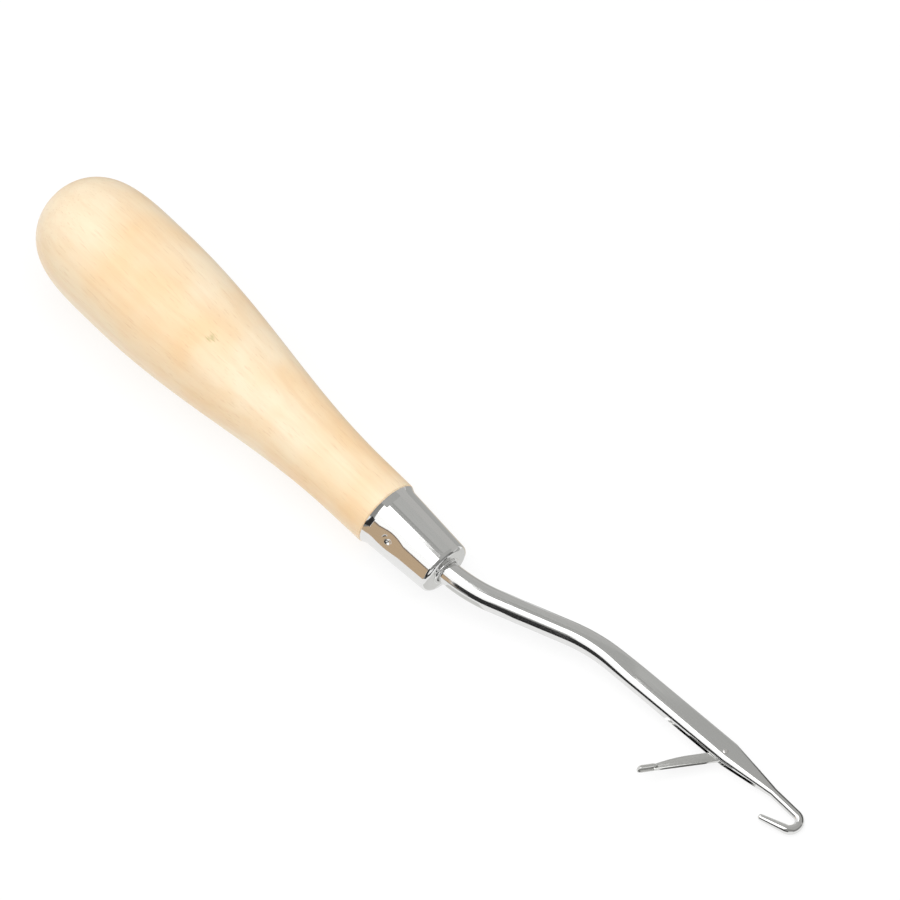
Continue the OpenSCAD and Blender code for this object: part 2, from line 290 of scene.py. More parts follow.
gloss = add(tree, "ShaderNodeMapRange", {
    "Value": streaks, "To Min": 0.34, "To Max": 0.48,
}).outputs["Result"]
feel = add(tree, "ShaderNodeBump", {
    "Height": pores, "Strength": 0.12, "Distance": PORE_DEPTH,
}).outputs["Normal"]
wood_shader = add(tree, "ShaderNodeBsdfPrincipled", {
    "Base Color": with_knot.outputs[2],
    "Roughness": gloss,
    "Normal": feel,
    "IOR": 1.5,
    "Subsurface Weight": 0.08,
    "Subsurface Radius": (1.0, 0.6, 0.35),
    "Subsurface Scale": 1.0 * MM,
    "Coat Weight": 0.2,
    "Coat Roughness": 0.22,
})
tree.links.new(wood_shader.outputs["BSDF"], output.inputs["Surface"])
print("made", wood.name)

# %% [markdown]
# ## Chrome and steel
# The ferrule and the shank are steel, polished and then plated with a thin layer of nickel and
# chrome. Chrome has almost no colour of its own: what the eye takes for its look is the room
# that it mirrors. It is a metal with a low roughness. Handling leaves fine hairlines and a
# slight haze, so a noise that is stretched along the tool varies the roughness a little, and a
# very shallow bump gives the plating's faint ripple. Real hairlines are finer than a pixel, so
# they are drawn a sixth of a millimetre wide. An image of scratches could do the same, but the
# noise has no seams and needs no unwrapped mesh.


# %% How a plated finish is made
HAIRLINE_WIDTH = 1 / 6
HAIRLINE_STRETCH = 0.06
RIPPLE_DEPTH = 0.05 * MM


def plated(name, colours, roughness, haze, ripple_width, ripple):
    """Bright plated steel: hairlines run along the tool, and a faint ripple bends the mirror."""
    material, tree, output = new_finish(name)
    along = places_on_piece(tree)[1]
    stretched = add(tree, "ShaderNodeVectorMath", {
        0: along, 1: (HAIRLINE_STRETCH, 1, 1),
    }, operation="MULTIPLY").outputs["Vector"]
    hairlines = add(tree, "ShaderNodeTexNoise", {
        "Vector": stretched, "Scale": 1 / HAIRLINE_WIDTH, "Detail": 3, "Roughness": 0.6,
    }).outputs["Fac"]
    clouds = add(tree, "ShaderNodeTexNoise", {
        "Vector": along, "Scale": 1 / ripple_width, "Detail": 1,
    }).outputs["Fac"]
    polish = add(tree, "ShaderNodeMapRange", {
        "Value": hairlines, "From Min": 0.35, "From Max": 0.75,
        "To Min": roughness, "To Max": roughness + haze,
    }).outputs["Result"]
    shade = add(tree, "ShaderNodeMix", {
        0: hairlines, 6: linear(colours[0]), 7: linear(colours[1]),
    }, data_type="RGBA")
    rippled = add(tree, "ShaderNodeBump", {
        "Height": clouds, "Strength": ripple, "Distance": RIPPLE_DEPTH,
    }).outputs["Normal"]
    shader = add(tree, "ShaderNodeBsdfPrincipled", {
        "Base Color": shade.outputs[2], "Metallic": 1.0, "Roughness": polish, "Normal": rippled,
    })
    tree.links.new(shader.outputs["BSDF"], output.inputs["Surface"])
    print("made", name)
    return material


# %% [markdown]
# Four grades come from it. Drawn wire is polished before plating and mirrors almost cleanly.
# Sheet that was drawn in a press is brighter still, with a finer ripple. The small latch is
# tumbled with many others in a drum, which leaves it duller. The rivet is bare steel, and the
# blow that sets it leaves its head rough.

# %% Four grades of polish
shank_chrome = plated(
    "bright_chromed_steel_wire", ("#E3E3E2", "#D9D9D8"),
    roughness=0.08, haze=0.05, ripple_width=4.0, ripple=0.1,
)
ferrule_chrome = plated(
    "bright_chromed_drawn_sheet", ("#E6E6E5", "#DCDCDB"),
    roughness=0.06, haze=0.04, ripple_width=3.0, ripple=0.15,
)
latch_steel = plated(
    "tumbled_plated_steel", ("#DADAD8", "#CACAC8"),
    roughness=0.16, haze=0.1, ripple_width=1.5, ripple=0.2,
)
rivet_steel = plated(
    "bare_steel_rivet", ("#DEDCDA", "#CECCC9"),
    roughness=0.24, haze=0.12, ripple_width=0.8, ripple=0.3,
)

# %% [markdown]
# ## The handle
# On a lathe the outline is cut first, and the block turns. The mesh is made the same way: a
# chain of points along the outline is spun round the tool's axis. A cylinder could be scaled
# ring by ring instead, but a spun chain keeps the outline in one place, and the ferrule, the
# spoon and the rivet are spun by the same function. A chain that reaches the axis closes there,
# once its doubled points are merged.

# %% Spin an outline
TURNS = 128


def even_steps(whole, steps):
    """Even steps from 0 to the whole, both ends included."""
    return [whole * i / steps for i in range(steps + 1)]


def turn(outline, turns=TURNS):
    """Spins a chain of (x, radius) points round the tool's axis into a shell."""
    mesh = bmesh.new()
    chain = [mesh.verts.new((x, 0, radius)) for x, radius in outline]
    edges = [mesh.edges.new(pair) for pair in zip(chain, chain[1:])]
    bmesh.ops.spin(
        mesh, geom=chain + edges, cent=(0, 0, 0), axis=(1, 0, 0),
        angle=math.tau, steps=turns, use_merge=True,
    )
    bmesh.ops.remove_doubles(mesh, verts=mesh.verts, dist=SEAM)
    return mesh


# %% [markdown]
# A turner works to a few measured places and lets the gouge join them. The palm swell is
# widest at one place and falls to the neck along half a cosine wave, which is level at both
# ends, and the neck keeps a slight taper. A row of measured radii would do as well, but a curve
# has no flats between them.

# %% The swell's curve
HANDLE_LENGTH = 78.5
SWELL_RADIUS = 10.65
SWELL_PLACE = 21
SWELL_RUN = 50
NECK_RADIUS = 6.05
NECK_TAPER = 0.01


def neck_radius(x):
    """The neck's radius, which grows a little towards the swell."""
    return NECK_RADIUS + NECK_TAPER * (HANDLE_LENGTH - x)


def handle_radius(x):
    """The handle's radius from its widest place to its front end."""
    share = (1 + math.cos(math.pi * min(1, (x - SWELL_PLACE) / SWELL_RUN))) / 2
    return neck_radius(x) + (SWELL_RADIUS - neck_radius(x)) * share


print("the swell is", 2 * SWELL_RADIUS, "mm wide, and the neck", 2 * neck_radius(HANDLE_LENGTH))

# %% [markdown]
# The butt is a quarter of a rounded square, which is fuller than a ball. The end of the wood is
# broken with a small chamfer, and a tapered tenon goes into the ferrule, where nobody sees it.

# %% Turn the handle
WOOD_EDGE = 0.25
TENON_RADIUS = 5.0
TENON_TAPER = 0.9
TENON_END = 91.5
BUTT_STEPS = 48
SWELL_STEPS = 72

butt = [
    (SWELL_PLACE * (1 - math.sqrt(math.cos(a))), SWELL_RADIUS * math.sin(a))
    for a in even_steps(math.pi / 2, BUTT_STEPS)[:-1]
]
swell = [
    (SWELL_PLACE + run, handle_radius(SWELL_PLACE + run))
    for run in even_steps(HANDLE_LENGTH - WOOD_EDGE - SWELL_PLACE, SWELL_STEPS)
]
front = [
    (HANDLE_LENGTH, NECK_RADIUS - WOOD_EDGE),
    (HANDLE_LENGTH, TENON_RADIUS),
    (TENON_END, TENON_RADIUS - TENON_TAPER),
    (TENON_END, 0),
]
finish_piece(turn(butt + swell + front), "turned_handle", wood, "tool", "handle")

# %% [markdown]
# ## The ferrule
# A ferrule like this is drawn from sheet steel in a press: a cup with a flared rim, a slightly
# tapered wall, a rounded shoulder, and a hole in its flat end that is rolled into a small lip.
# A plain cup with a Solidify modifier would do for matt paint, but chrome shows every bend of
# the rim and the shoulder. So one function draws the sheet's outline from the rim to the flat
# end, and is asked once for the outside and once, set in by the sheet, for the inside.

# %% The ferrule's outline
FACE = 92.5
RIM_RADIUS = 5.95
BACK_RADIUS = 5.55
FRONT_RADIUS = 4.8
FLARE = 1.4
SHOULDER = 0.9
FLARE_STEPS = 8
WALL_STEPS = 88
SHOULDER_STEPS = 12


def ferrule_outline(inset):
    """The ferrule from its rim to the edge of its flat end, set in by a wall."""
    flare = [
        (HANDLE_LENGTH + FLARE * i / FLARE_STEPS,
         BACK_RADIUS + (RIM_RADIUS - BACK_RADIUS) * (1 - i / FLARE_STEPS) ** 2 - inset)
        for i in range(FLARE_STEPS + 1)
    ]
    start, end = HANDLE_LENGTH + FLARE, FACE - SHOULDER
    wall = [
        (start + (end - start) * i / WALL_STEPS,
         BACK_RADIUS + (FRONT_RADIUS - BACK_RADIUS) * i / WALL_STEPS - inset)
        for i in range(1, WALL_STEPS)
    ]
    bend = SHOULDER - inset
    shoulder = [
        (end + bend * math.sin(a), FRONT_RADIUS - SHOULDER + bend * math.cos(a))
        for a in even_steps(math.pi / 2, SHOULDER_STEPS)
    ]
    return flare + wall + shoulder


print("the ferrule is", FACE - HANDLE_LENGTH, "mm long, and its rim", 2 * RIM_RADIUS, "mm wide")

# %% [markdown]
# The lip is half a circle that rolls in at the wire's hole. Outside, lip and inside are joined
# into one ring, whose last point is its first, and the ring is spun into a closed shell.

# %% Draw the ferrule
SHEET = 0.45
HOLE_RADIUS = 2.08
LIP = 0.3
LIP_STEPS = 10
FERRULE_TURNS = 224

lip = [
    (FACE + LIP * math.sin(a), HOLE_RADIUS + LIP + LIP * math.cos(a))
    for a in even_steps(math.pi, LIP_STEPS)
]
outside = ferrule_outline(0) + lip
inside = [(FACE - SHEET, HOLE_RADIUS)] + ferrule_outline(SHEET)[::-1]
ferrule_mesh = turn(outside + inside + outside[:1], turns=FERRULE_TURNS)
print("the sheet's outline has", len(outside + inside), "points")

# %% [markdown]
# A fitter strikes one crimp through the wall into the wood, which holds the ferrule on. The blow
# leaves three marks round one middle: a wide dent in the sheet, the dish of the tool's round
# end, and the mark of its point. A bump in the material would look flat in a mirror, so the
# shell's own points are pressed towards the axis. Each mark is a radius and a depth, and falls
# off smoothly to nothing at its radius. The wall has many rings and turns so that there are
# points enough for the smallest one.

# %% Strike the crimp
CRIMP_PLACE = 83.4
CRIMP_ANGLE = math.radians(60)
CRIMP_MARKS = [(3.0, 0.16), (1.5, 0.12), (0.7, 0.3)]

crimp_out = Vector((0, -math.sin(CRIMP_ANGLE), math.cos(CRIMP_ANGLE)))
crimp_middle = Vector((CRIMP_PLACE, 0, 0)) + crimp_out * BACK_RADIUS
for vert in ferrule_mesh.verts:
    reach = (vert.co - crimp_middle).length
    for radius, depth in CRIMP_MARKS:
        vert.co -= crimp_out * depth * max(0, 1 - (reach / radius) ** 2) ** 2
finish_piece(ferrule_mesh, "drawn_ferrule", ferrule_chrome, "tool", "ferrule")

# %% [markdown]
# ## The shank
# The shank is one length of round wire. It is bent twice, its front third is pressed flat into
# a blade, and its end is drawn down thin and curled back into the hook. A curve with a bevel
# could follow the bends, but it keeps one section from end to end. So the wire is a ring that
# is carried along a path: at each station the ring stands square to the path and takes the
# section that the wire has there.
#
# A section is a rounded oblong, given by its half height and half thickness and by the height
# and thickness of its corners, first towards the blade's back and then towards its open edge.
# A circle is the same oblong with corners as large as itself, so the round wire flows into the
# blade. The corners of the blade's root are still nearly round, as the press leaves them.

# %% The wire's sections
WIRE = 2.0
BLADE_HALF_HEIGHT = 1.925
BLADE_HALF_THICK = 1.5
BACK_CORNER = (0.4, 0.4)
OPEN_CORNER = (1.5, 1.0)
ROOT_CORNER = (1.9, 1.2)
HOOK_WIRE = 0.8

ROUND = (WIRE,) * 6
BLADE = (BLADE_HALF_HEIGHT, BLADE_HALF_THICK, *BACK_CORNER, *OPEN_CORNER)
BLADE_ROOT = (BLADE_HALF_HEIGHT, BLADE_HALF_THICK, *BACK_CORNER, *ROOT_CORNER)
THIN = (HOOK_WIRE,) * 6


def smooth(share):
    """Eases a share between 0 and 1 in and out."""
    return share * share * (3 - 2 * share)


def mixed(start, end, share):
    """Each number of start, taken a share of the way to end."""
    return tuple(a + (b - a) * share for a, b in zip(start, end))


print("wire", 2 * WIRE, "mm, blade", 2 * BLADE_HALF_HEIGHT, "by", 2 * BLADE_HALF_THICK, "mm")

# %% [markdown]
# The wire's path is made of straight runs and arcs. A straight run needs only its direction,
# because the rings at its two ends are enough. An arc is walked in small steps round its
# centre, and gives the place and the heading at each of them.


# %% Directions and arcs
def direction(angle):
    """A unit vector in the hook's plane."""
    return Vector((math.cos(angle), math.sin(angle), 0))


def arc(start, heading, radius, turned, steps):
    """Places and headings round a bend; a positive angle turns to the left."""
    side = math.copysign(1, turned)
    centre = start + side * radius * direction(heading + math.pi / 2)
    for i in range(1, steps + 1):
        now = heading + turned * i / steps
        yield centre - side * radius * direction(now + math.pi / 2), now


# %% [markdown]
# The path starts at the tang's point inside the wood, comes out of the ferrule, and makes the
# crank's two bends. Each bend takes the place of a corner between two straight runs, and starts
# as far before the corner as its radius asks.

# %% Walk from the tang to the second bend
TANG_START = 54.5
TANG_POINT = 2.5
FIRST_BEND_PLACE = FACE + 4.3
FIRST_BEND_RADIUS = 29
FIRST_BEND_STEPS = 24
CRANK = math.radians(22)
CRANK_RUN = 22.8
SECOND_BEND_RADIUS = 28
BLADE_LEAN = math.radians(4)

first_bend = Vector((FIRST_BEND_PLACE, 0, 0))
second_bend = first_bend + CRANK_RUN * direction(CRANK)
first_side = FIRST_BEND_RADIUS * math.tan(CRANK / 2)
second_side = SECOND_BEND_RADIUS * math.tan((CRANK - BLADE_LEAN) / 2)

stations = [
    (Vector((TANG_START, 0, 0)), 0, (WIRE / 2,) * 6),
    (Vector((TANG_START + TANG_POINT, 0, 0)), 0, ROUND),
    (Vector((FIRST_BEND_PLACE - first_side, 0, 0)), 0, ROUND),
]
stations += [
    (spot, heading, ROUND)
    for spot, heading in arc(stations[-1][0], 0, FIRST_BEND_RADIUS, CRANK, FIRST_BEND_STEPS)
]
second_start = second_bend - second_side * direction(CRANK)
stations.append((second_start, CRANK, ROUND))
print("the wire leaves the first bend", round(stations[-2][0].x, 1), "mm from the butt")

# %% [markdown]
# The press reaches into the second bend, so the wire is already being flattened there, and the
# blade is full a little after it. The section changes slowly at both ends of this stretch and
# faster in its middle, as metal does that is squeezed between two smooth dies.

# %% Press the blade
SECOND_BEND_STEPS = 20
FLAT_FULL = 10
FLAT_STEPS = 16

pressed = list(arc(second_start, CRANK, SECOND_BEND_RADIUS, BLADE_LEAN - CRANK, SECOND_BEND_STEPS))
for i in range(1, FLAT_STEPS + 1):
    run = second_side + (FLAT_FULL - second_side) * i / FLAT_STEPS
    pressed.append((second_bend + run * direction(BLADE_LEAN), BLADE_LEAN))
for i, (spot, heading) in enumerate(pressed, start=1):
    stations.append((spot, heading, mixed(ROUND, BLADE_ROOT, smooth(i / len(pressed)))))
print("the wire is flat", round(pressed[-1][0].x, 1), "mm from the butt")

# %% [markdown]
# Just in front of the rivet the blade starts to be drawn down to the thin wire of the hook, and
# straightens to run along the tool. The runs along the blade are counted from the second bend,
# and the hook's wire lies one small step in from the blade's back.

# %% Draw the end down
PIVOT_RUN = 28.95
TAPER_LEAD = 0.45
TAPER_START = PIVOT_RUN + TAPER_LEAD
TAPER_END = PIVOT.x + 10.1
TAPER_STEPS = 24
HOOK_STEP = 0.45

taper_start = second_bend + TAPER_START * direction(BLADE_LEAN)
blade_back = taper_start + BLADE_HALF_HEIGHT * direction(BLADE_LEAN + math.pi / 2)
hook_y = blade_back.y - HOOK_STEP - HOOK_WIRE
taper_end = Vector((TAPER_END, hook_y, 0))
stations.append((taper_start, BLADE_LEAN, BLADE))
for i in range(1, TAPER_STEPS + 1):
    share = i / TAPER_STEPS
    spot = taper_start.lerp(taper_end, share)
    stations.append((spot, BLADE_LEAN * (1 - share), mixed(BLADE, THIN, share)))
print("the taper is", round((taper_end - taper_start).length, 1), "mm long")

# %% [markdown]
# The hook turns the wire back past itself, a short return leg points at the latch, and its tip
# is rounded so that it slips through the canvas. The tip's last ring stops half a step short of
# its pole, where a face can close it.

# %% Bend the hook
HOOK_BEND_PLACE = PIVOT.x + 15.45
HOOK_BEND_RADIUS = 1.6
HOOK_TURN = math.radians(160.5)
HOOK_STEPS = 40
HOOK_RETURN = 4.3
RETURN_STEPS = 4
HOOK_TIP = 0.55
TIP_STEPS = 7

hook_start = Vector((HOOK_BEND_PLACE, hook_y, 0))
stations.append((hook_start, 0, THIN))
stations += [
    (spot, heading, THIN)
    for spot, heading in arc(hook_start, 0, HOOK_BEND_RADIUS, -HOOK_TURN, HOOK_STEPS)
]
return_start, return_heading, _ = stations[-1]
for i in range(1, RETURN_STEPS + 1):
    width = HOOK_WIRE + (HOOK_TIP - HOOK_WIRE) * i / RETURN_STEPS
    spot = return_start + HOOK_RETURN * i / RETURN_STEPS * direction(return_heading)
    stations.append((spot, return_heading, (width,) * 6))
for i in range(1, TIP_STEPS + 1):
    a = math.pi / 2 * i / (TIP_STEPS + 0.5)
    spot = return_start + (HOOK_RETURN + HOOK_TIP * math.sin(a)) * direction(return_heading)
    stations.append((spot, return_heading, (HOOK_TIP * math.cos(a),) * 6))
print("the wire has", len(stations), "stations")

# %% [markdown]
# The ring's points are counted by their angle round the wire. Each quarter of a section is a
# straight side and a rounded corner: the side moves the corner out, and the corner is an
# ellipse of its own height and thickness.


# %% A point of the ring
def section_point(station, angle):
    """A point of the section at a station; angle 0 faces the back of the blade."""
    spot, heading, (height, thick, back_h, back_t, open_h, open_t) = station
    corner_h, corner_t = (back_h, back_t) if math.cos(angle) > 0 else (open_h, open_t)
    up = math.copysign(height - corner_h, math.cos(angle)) + corner_h * math.cos(angle)
    out = math.copysign(thick - corner_t, math.sin(angle)) + corner_t * math.sin(angle)
    return spot + up * direction(heading + math.pi / 2) + Vector((0, 0, out))


# %% [markdown]
# With the stations known, one ring does the rest. It starts as a capped circle at the tang's
# point. At each station its open edge is extruded, and the new points are moved to the section
# there. Extruding gives the new points in no fixed order, so each is first paired with the old
# point that it still lies on. A last face closes the hook's tip.

# %% Carry the ring along the path
RING_POINTS = 64


def where(vert):
    """A point's place, rounded so that two points on the same spot agree."""
    return tuple(round(c, 5) for c in vert.co)


shank_mesh = bmesh.new()
ring = bmesh.ops.create_circle(shank_mesh, cap_ends=True, radius=1, segments=RING_POINTS)["verts"]
angles = [math.tau * (i + 0.5) / RING_POINTS for i in range(RING_POINTS)]
for vert, angle in zip(ring, angles):
    vert.co = section_point(stations[0], angle)
edges = [edge for edge in shank_mesh.edges if all(v in ring for v in edge.verts)]
for station in stations[1:]:
    grown = bmesh.ops.extrude_edge_only(shank_mesh, edges=edges)["geom"]
    edges = [item for item in grown if isinstance(item, bmesh.types.BMEdge)]
    order = {where(vert): index for index, vert in enumerate(ring)}
    fresh = [item for item in grown if isinstance(item, bmesh.types.BMVert)]
    ring = sorted(fresh, key=lambda vert: order[where(vert)])
    for vert, angle in zip(ring, angles):
        vert.co = section_point(station, angle)
bmesh.ops.contextual_create(shank_mesh, geom=edges)
bmesh.ops.recalc_face_normals(shank_mesh, faces=shank_mesh.faces)
print("the shank has", len(shank_mesh.faces), "faces before its slot is cut")

# %% [markdown]
# ### The slot
# The slot is milled into the blade from its open edge with a thin cutter. Its shape cuts across
# the rings of the shank, so a Boolean takes it away instead of moved points. Both the cutter
# and the latch's leaf are plates: a flat outline that is extruded to its thickness. One
# function makes them, and another finds places on the leaning blade.


# %% Plates, and places on the blade
def on_blade(run, side):
    """A place on the blade, from the second bend, with side counted towards its back."""
    return second_bend + run * direction(BLADE_LEAN) + side * direction(BLADE_LEAN + math.pi / 2)


def thicken(mesh, outline, low, high):
    """Makes a flat outline at one height into a plate that reaches to another."""
    sheet = mesh.faces.new([mesh.verts.new((x, y, low)) for x, y in outline])
    lifted = bmesh.ops.extrude_face_region(mesh, geom=[sheet])["geom"]
    lifted = [item for item in lifted if isinstance(item, bmesh.types.BMVert)]
    bmesh.ops.translate(mesh, vec=(0, 0, high - low), verts=lifted)
    bmesh.ops.recalc_face_normals(mesh, faces=mesh.faces)


# %% [markdown]
# The slot is deepest from the rivet backwards, where the latch lies when it is open, and runs
# out towards both ends. Its floor leaves a small gap round the latch's eye. The cutter reaches
# past the blade's edge, so that the cut leaves no skin there.

# %% Shape the slot's cutter
SLOT_WIDTH = 0.9
SLOT_BACK = 11.7
SLOT_RAMP = 5
SLOT_FRONT = 7.2
SLOT_RISE = 1 / 8
SLOT_FLOOR = 0.65
SLOT_OVER = 1
EYE = 0.9
EYE_GAP = 0.17

slot_outline = [
    (-SLOT_BACK, -BLADE_HALF_HEIGHT - SLOT_OVER),
    (-SLOT_BACK, -BLADE_HALF_HEIGHT),
    (SLOT_RAMP - SLOT_BACK, SLOT_FLOOR),
    (EYE + EYE_GAP, SLOT_FLOOR),
    (SLOT_FRONT, -SLOT_FRONT * SLOT_RISE),
    (SLOT_FRONT, -BLADE_HALF_HEIGHT - SLOT_OVER),
]
cutter_mesh = bmesh.new()
cutter_outline = [on_blade(PIVOT_RUN + run, side).xy for run, side in slot_outline]
thicken(cutter_mesh, cutter_outline, -SLOT_WIDTH / 2, SLOT_WIDTH / 2)
print("the cutter is", SLOT_WIDTH, "mm thick, and its slot", SLOT_BACK + SLOT_FRONT, "mm long")

# %% [markdown]
# A modifier works on an object, so shank and cutter are made bare objects for a moment. The
# exact solver is chosen because the cut's floor meets many narrow faces. The milled mesh is
# read back, and both helpers are removed.


# %% Mill the slot
def plain_object(mesh, name):
    """A bare object for a mesh, such as one for a modifier to work on."""
    data = bpy.data.meshes.new(name)
    mesh.to_mesh(data)
    mesh.free()
    item = bpy.data.objects.new(name, data)
    bpy.context.collection.objects.link(item)
    return item


blank = plain_object(shank_mesh, "shank_blank")
cutter = plain_object(cutter_mesh, "slot_cutter")
milling = blank.modifiers.new("slot", "BOOLEAN")
milling.object = cutter
milling.operation = "DIFFERENCE"
milling.solver = "EXACT"
milled = blank.evaluated_get(bpy.context.evaluated_depsgraph_get())
shank_mesh = bmesh.new()
shank_mesh.from_mesh(milled.to_mesh())
milled.to_mesh_clear()
bpy.data.objects.remove(blank)
bpy.data.objects.remove(cutter)
finish_piece(shank_mesh, "bent_wire_shank", shank_chrome, "tool", "shank")

# %% [markdown]
# ## The latch
# The latch is stamped from thin steel: an eye for the rivet, a leaf that tapers, and an end
# that is pressed over a former into a little trough for the hook's tip. The leaf is a flat
# outline round the eye, thickened to the sheet. Its level edges, which run round the two faces,
# are rolled by a bevel, and the upright ones between them stay. The outline starts at the
# rivet's middle and runs along X, and the latch is swung to its place last.

# %% Stamp the leaf
LATCH_LENGTH = 14.5
LATCH_HALF_THICK = 0.35
LEAF_RUN = 6.5
LEAF_BACK = -0.23
LEAF_FRONT = 0.72
LEAF_CURVE = 1.6
LEAF_EDGE = 0.16
EYE_STEPS = 20
SPOON_LENGTH = 3.6
SPOON_RADIUS = 0.85
LEVEL = 0.01

spoon_start = LATCH_LENGTH - SPOON_LENGTH + SPOON_RADIUS
leaf_outline = [(-EYE * math.sin(a), -EYE * math.cos(a)) for a in even_steps(math.pi, EYE_STEPS)]
leaf_outline += [(spoon_start, LEAF_FRONT), (spoon_start, LEAF_BACK)]
leaf_outline += [
    (LEAF_RUN + (spoon_start - LEAF_RUN) * share, -EYE + (LEAF_BACK + EYE) * share ** LEAF_CURVE)
    for share in [0.75, 0.5, 0.25, 0]
]
latch_mesh = bmesh.new()
thicken(latch_mesh, leaf_outline, -LATCH_HALF_THICK, LATCH_HALF_THICK)
rim = [edge for edge in latch_mesh.edges if abs(edge.verts[0].co.z - edge.verts[1].co.z) < LEVEL]
bmesh.ops.bevel(
    latch_mesh, geom=rim, offset=LEAF_EDGE, segments=4, profile=0.5, affect="EDGES", material=-1,
)
print("the leaf has", len(latch_mesh.faces), "faces")

# %% [markdown]
# The trough is half of a round-ended tube. A tube is spun, cut along its middle by
# bisect_plane, and given the sheet's wall by solidify, which is how a pressed shell is closed
# without drawing its rim by hand. Its normals are recalculated before the wall is added, so
# that the wall grows inwards.

# %% Press the spoon and swing the latch
SPOON_WALL = 0.2
SPOON_TURNS = 48
TROUGH = 0.4
DOME_STEPS = 12
LATCH_ANGLE = math.radians(-122.5)

spoon_half = (SPOON_LENGTH - 2 * SPOON_RADIUS) / 2
spoon_middle = LATCH_LENGTH - SPOON_LENGTH / 2
dome = even_steps(math.pi / 2, DOME_STEPS)
spoon_outline = (
    [(-spoon_half - SPOON_RADIUS * math.cos(a), SPOON_RADIUS * math.sin(a)) for a in dome]
    + [(spoon_half + SPOON_RADIUS * math.sin(a), SPOON_RADIUS * math.cos(a)) for a in dome]
)
spoon_mesh = turn(spoon_outline, turns=SPOON_TURNS)
bmesh.ops.bisect_plane(
    spoon_mesh, geom=spoon_mesh.verts[:] + spoon_mesh.edges[:] + spoon_mesh.faces[:],
    dist=0.0001, plane_co=(0, 0, 0), plane_no=(0, 1, 0), clear_outer=True,
)
bmesh.ops.recalc_face_normals(spoon_mesh, faces=spoon_mesh.faces)
bmesh.ops.solidify(spoon_mesh, geom=spoon_mesh.faces[:], thickness=SPOON_WALL)
bmesh.ops.translate(spoon_mesh, vec=(spoon_middle, TROUGH, 0), verts=spoon_mesh.verts)
spoon_data = bpy.data.meshes.new("spoon")
spoon_mesh.to_mesh(spoon_data)
spoon_mesh.free()
latch_mesh.from_mesh(spoon_data)
bpy.data.meshes.remove(spoon_data)

swing = Matrix.Translation(PIVOT) @ Matrix.Rotation(LATCH_ANGLE, 4, "Z")
bmesh.ops.transform(latch_mesh, matrix=swing, verts=latch_mesh.verts)
finish_piece(
    latch_mesh, "stamped_latch", latch_steel, "latch", "latch", sharp_angle=50,
)

# %% [markdown]
# ## The rivet
# The latch's pin is cut flush and its two ends are set with a light blow, so each shows as a
# small dome in the blade's cheek. A cylinder with two bevelled ends would come close, but the
# domes are lower than they are wide, so the pin is spun like the handle.

# %% Set the rivet
RIVET_RADIUS = 0.45
RIVET_DOME = 0.12
HEAD_STEPS = 8
RIVET_TURNS = 32

head = [
    (BLADE_HALF_THICK + RIVET_DOME * math.sin(a), RIVET_RADIUS * math.cos(a))
    for a in even_steps(math.pi / 2, HEAD_STEPS)
]
rivet_mesh = turn([(-x, radius) for x, radius in head[::-1]] + head, turns=RIVET_TURNS)
upright = Matrix.Translation(PIVOT) @ Matrix.Rotation(-math.pi / 2, 4, "Y")
bmesh.ops.transform(rivet_mesh, matrix=upright, verts=rivet_mesh.verts)
finish_piece(
    rivet_mesh, "set_rivet", rivet_steel, "tool", "latch_rivet", sharp_angle=60,
)

# %% [markdown]
# ## The table
# The photograph was taken on a white sweep, so bright that it has no edge, with only a faint
# shadow where the tool touches it. Such a sweep is often a sheet of opal acrylic, lit a little
# from below. A pure white floor would need so much light that the wood burns out, so this one
# glows, and the tool's shadow falls on the share of light that it takes from above. The
# camera, metal and glass see the glow at full strength. Plain light takes a little less of it,
# so that the wood isn't lit too much from below.

# %% A pale floor that keeps the shadow
FLOOR_SIZE = 6.0
FLOOR_SHADE = 0.24
FLOOR_GLOW = 0.78
FLOOR_BOUNCE = 0.65


def seen_or_lit(tree, lit, seen):
    """A strength for plain light, and another for the camera, for metal and for glass."""
    path = add(tree, "ShaderNodeLightPath").outputs
    eye = add(tree, "ShaderNodeMath", {
        0: path["Is Camera Ray"], 1: path["Is Glossy Ray"],
    }, operation="MAXIMUM")
    eye = add(tree, "ShaderNodeMath", {
        0: eye.outputs[0], 1: path["Is Transmission Ray"],
    }, operation="MAXIMUM")
    level = add(tree, "ShaderNodeMapRange", {"Value": eye.outputs[0], "To Min": lit, "To Max": seen})
    return level.outputs["Result"]


sweep, tree, output = new_finish("lit_opal_acrylic_sweep")
matt = add(tree, "ShaderNodeBsdfDiffuse", {
    "Color": (FLOOR_SHADE, FLOOR_SHADE, FLOOR_SHADE, 1),
}).outputs["BSDF"]
glow = add(tree, "ShaderNodeEmission", {
    "Color": WHITE, "Strength": seen_or_lit(tree, FLOOR_BOUNCE, FLOOR_GLOW),
}).outputs["Emission"]
both = add(tree, "ShaderNodeAddShader", {0: matt, 1: glow}).outputs[0]
tree.links.new(both, output.inputs["Surface"])

floor_mesh = bmesh.new()
bmesh.ops.create_grid(floor_mesh, x_segments=1, y_segments=1, size=FLOOR_SIZE / 2)
table = plain_object(floor_mesh, "table")
table.data.materials.append(sweep)
print("the table is", FLOOR_SIZE, "m wide")

# %% [markdown]
# ## The studio
# Chrome shows the studio more than itself. Along the tool the photograph shows long stripes: a
# broad grey one towards the far side, a white one, a narrow dark one towards the near side, and
# a pale one that is the table. The white is a large soft light overhead, and the rest is the
# room. A picture of a studio could be wrapped round the scene, but it would stand too far off
# to follow the tool's bends. So the room is made of plain cards, which are placed in metres
# from the butt along the tool, across it, and up. They are seen in reflections alone: camera,
# shadows and plain light pass through them, so they take no light from the wood.


# %% How a card is hung
tool_start = LIE @ Vector((0, 0, 0))


